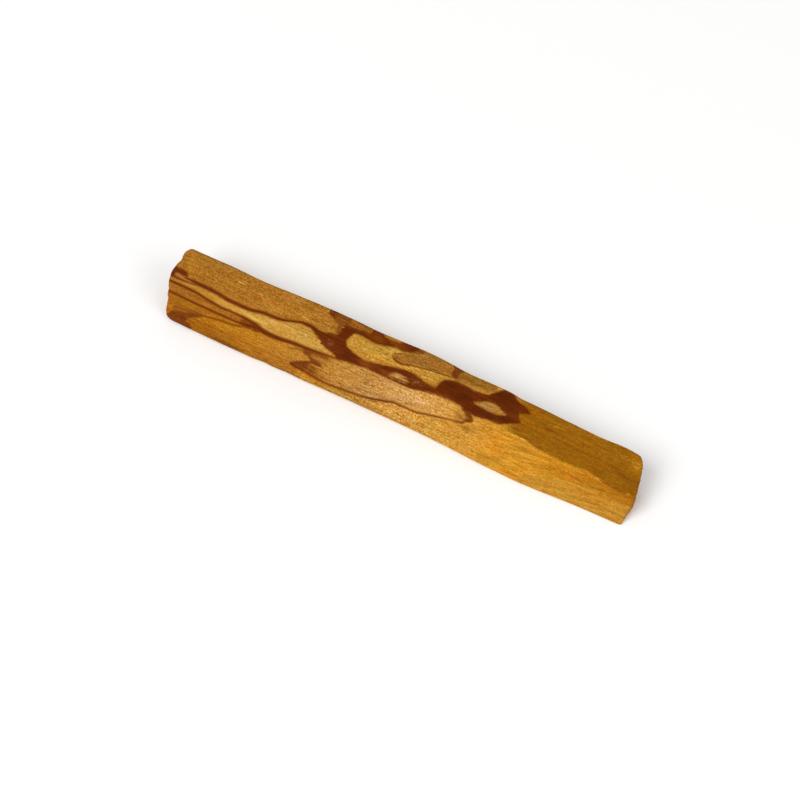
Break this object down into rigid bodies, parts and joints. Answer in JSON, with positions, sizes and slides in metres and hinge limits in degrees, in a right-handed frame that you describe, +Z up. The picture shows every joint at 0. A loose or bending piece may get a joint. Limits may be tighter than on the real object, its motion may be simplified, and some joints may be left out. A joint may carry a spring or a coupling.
{
  "type": "palo santo stick",
  "caption": "Short stick of aromatic heartwood, split and whittled to flat faces, golden with dark wavy figure, cut square at its ends.",
  "frame": {"origin": "centre of the bounding box, on the ground that the flat underside rests on", "axes": "+X along the stick to its whittled, lower end, -Y to the side that is looked at, +Z up"},
  "size_m": [0.102, 0.0132, 0.0108],
  "materials": {
    "wood": "bare split wood, slightly resinous"
  },
  "bodies": {
    "root": {"palo_santo_stick": "wood"}
  },
  "joints": []
}
